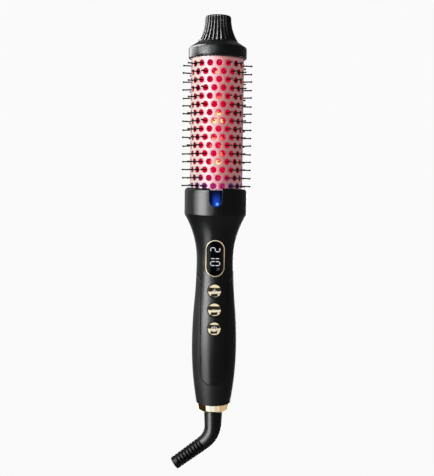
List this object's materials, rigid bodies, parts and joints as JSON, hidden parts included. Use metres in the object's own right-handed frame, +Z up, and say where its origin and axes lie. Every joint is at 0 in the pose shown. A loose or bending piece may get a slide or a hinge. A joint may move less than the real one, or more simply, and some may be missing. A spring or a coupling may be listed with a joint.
{
  "type": "heated round hair brush",
  "caption": "Heated ionic round hair brush: perforated glowing barrel with bristles on a waisted handle with display, press buttons and a swivelling cord exit.",
  "frame": {"origin": "on the handle's axis at the middle of the grip, where the handle is thickest", "axes": "+Z up the axis towards the cool tip, -Y the front with display and buttons, +X to the right seen from the front"},
  "size_m": [0.0562, 0.0504, 0.3321],
  "materials": {
    "barrel_metal": "satin rose-champagne coating",
    "bristle_nylon": "black nylon",
    "diffuser_red": "translucent red, lit from inside",
    "core_aluminium": "as extruded",
    "heater_film": "amber insulating film",
    "board_laminate": "green solder mask",
    "led_red": "lit red chip",
    "mica": "mica and ceramic insulation",
    "tip_black": "satin black moulding",
    "collar_black": "satin black moulding",
    "seat_plastic": "heat-proof black moulding",
    "grip_black": "fine soft-touch coating",
    "panel_black": "fine satin black",
    "gold_plate": "polished champagne-gold plating",
    "display_glass": "black glossy window",
    "lens_blue": "translucent blue, lit from inside",
    "led_blue": "lit blue chip",
    "steel": "zinc plated",
    "contact_brass": "bright",
    "wire_insulation": "woven glass sleeving",
    "relief_rubber": "satin black soft plastic"
  },
  "bodies": {
    "handle": {"barrel_tube": "barrel_metal", "bristle_pins": "bristle_nylon", "carrier_sleeve": "diffuser_red", "heat_core_front": "core_aluminium", "heat_core_rear": "core_aluminium", "ptc_heater": "heater_film", "thermal_fuse": "steel", "thermistor": "mica", "led_boards": "board_laminate", "red_leds": "led_red", "insulator_disc": "mica", "heater_leads": "wire_insulation", "barrel_seat": "seat_plastic", "cool_tip": "tip_black", "tip_plug": "seat_plastic", "tip_screws": "steel", "ion_collar": "collar_black", "ion_lens": "lens_blue", "blue_led": "led_blue", "ion_emitter": "steel", "ion_generator": "seat_plastic", "front_housing": "panel_black", "rear_grip": "grip_black", "display_bezel": "gold_plate", "display_window": "display_glass", "display_module": "seat_plastic", "control_board": "board_laminate", "board_screws": "steel", "tact_switches": "seat_plastic", "power_board": "board_laminate", "board_spacers": "seat_plastic", "triac": "seat_plastic", "base_ring": "gold_plate", "swivel_socket": "seat_plastic", "contact_springs": "contact_brass"},
    "plus_key": {"plus_button": "gold_plate", "plus_stem": "seat_plastic"},
    "minus_key": {"minus_button": "gold_plate", "minus_stem": "seat_plastic"},
    "power_key": {"power_button": "gold_plate", "power_stem": "seat_plastic"},
    "cord_exit": {"swivel_spigot": "seat_plastic", "retaining_clip": "steel", "slip_rings": "contact_brass", "strain_relief": "relief_rubber"}
  },
  "joints": [
    {"name": "plus_press", "type": "slide", "parent": "handle", "child": "plus_key", "axis": [0, 1, 0], "range_m": [0, 0.0008], "stiffness_N_per_m": 1500},
    {"name": "minus_press", "type": "slide", "parent": "handle", "child": "minus_key", "axis": [0, 1, 0], "range_m": [0, 0.0008], "stiffness_N_per_m": 1500},
    {"name": "power_press", "type": "slide", "parent": "handle", "child": "power_key", "axis": [0, 1, 0], "range_m": [0, 0.0008], "stiffness_N_per_m": 1500},
    {"name": "cord_swivel", "type": "hinge", "parent": "handle", "child": "cord_exit", "pos_m": [0, 0, -0.043], "axis": [0, 0, 1], "continuous": true}
  ]
}
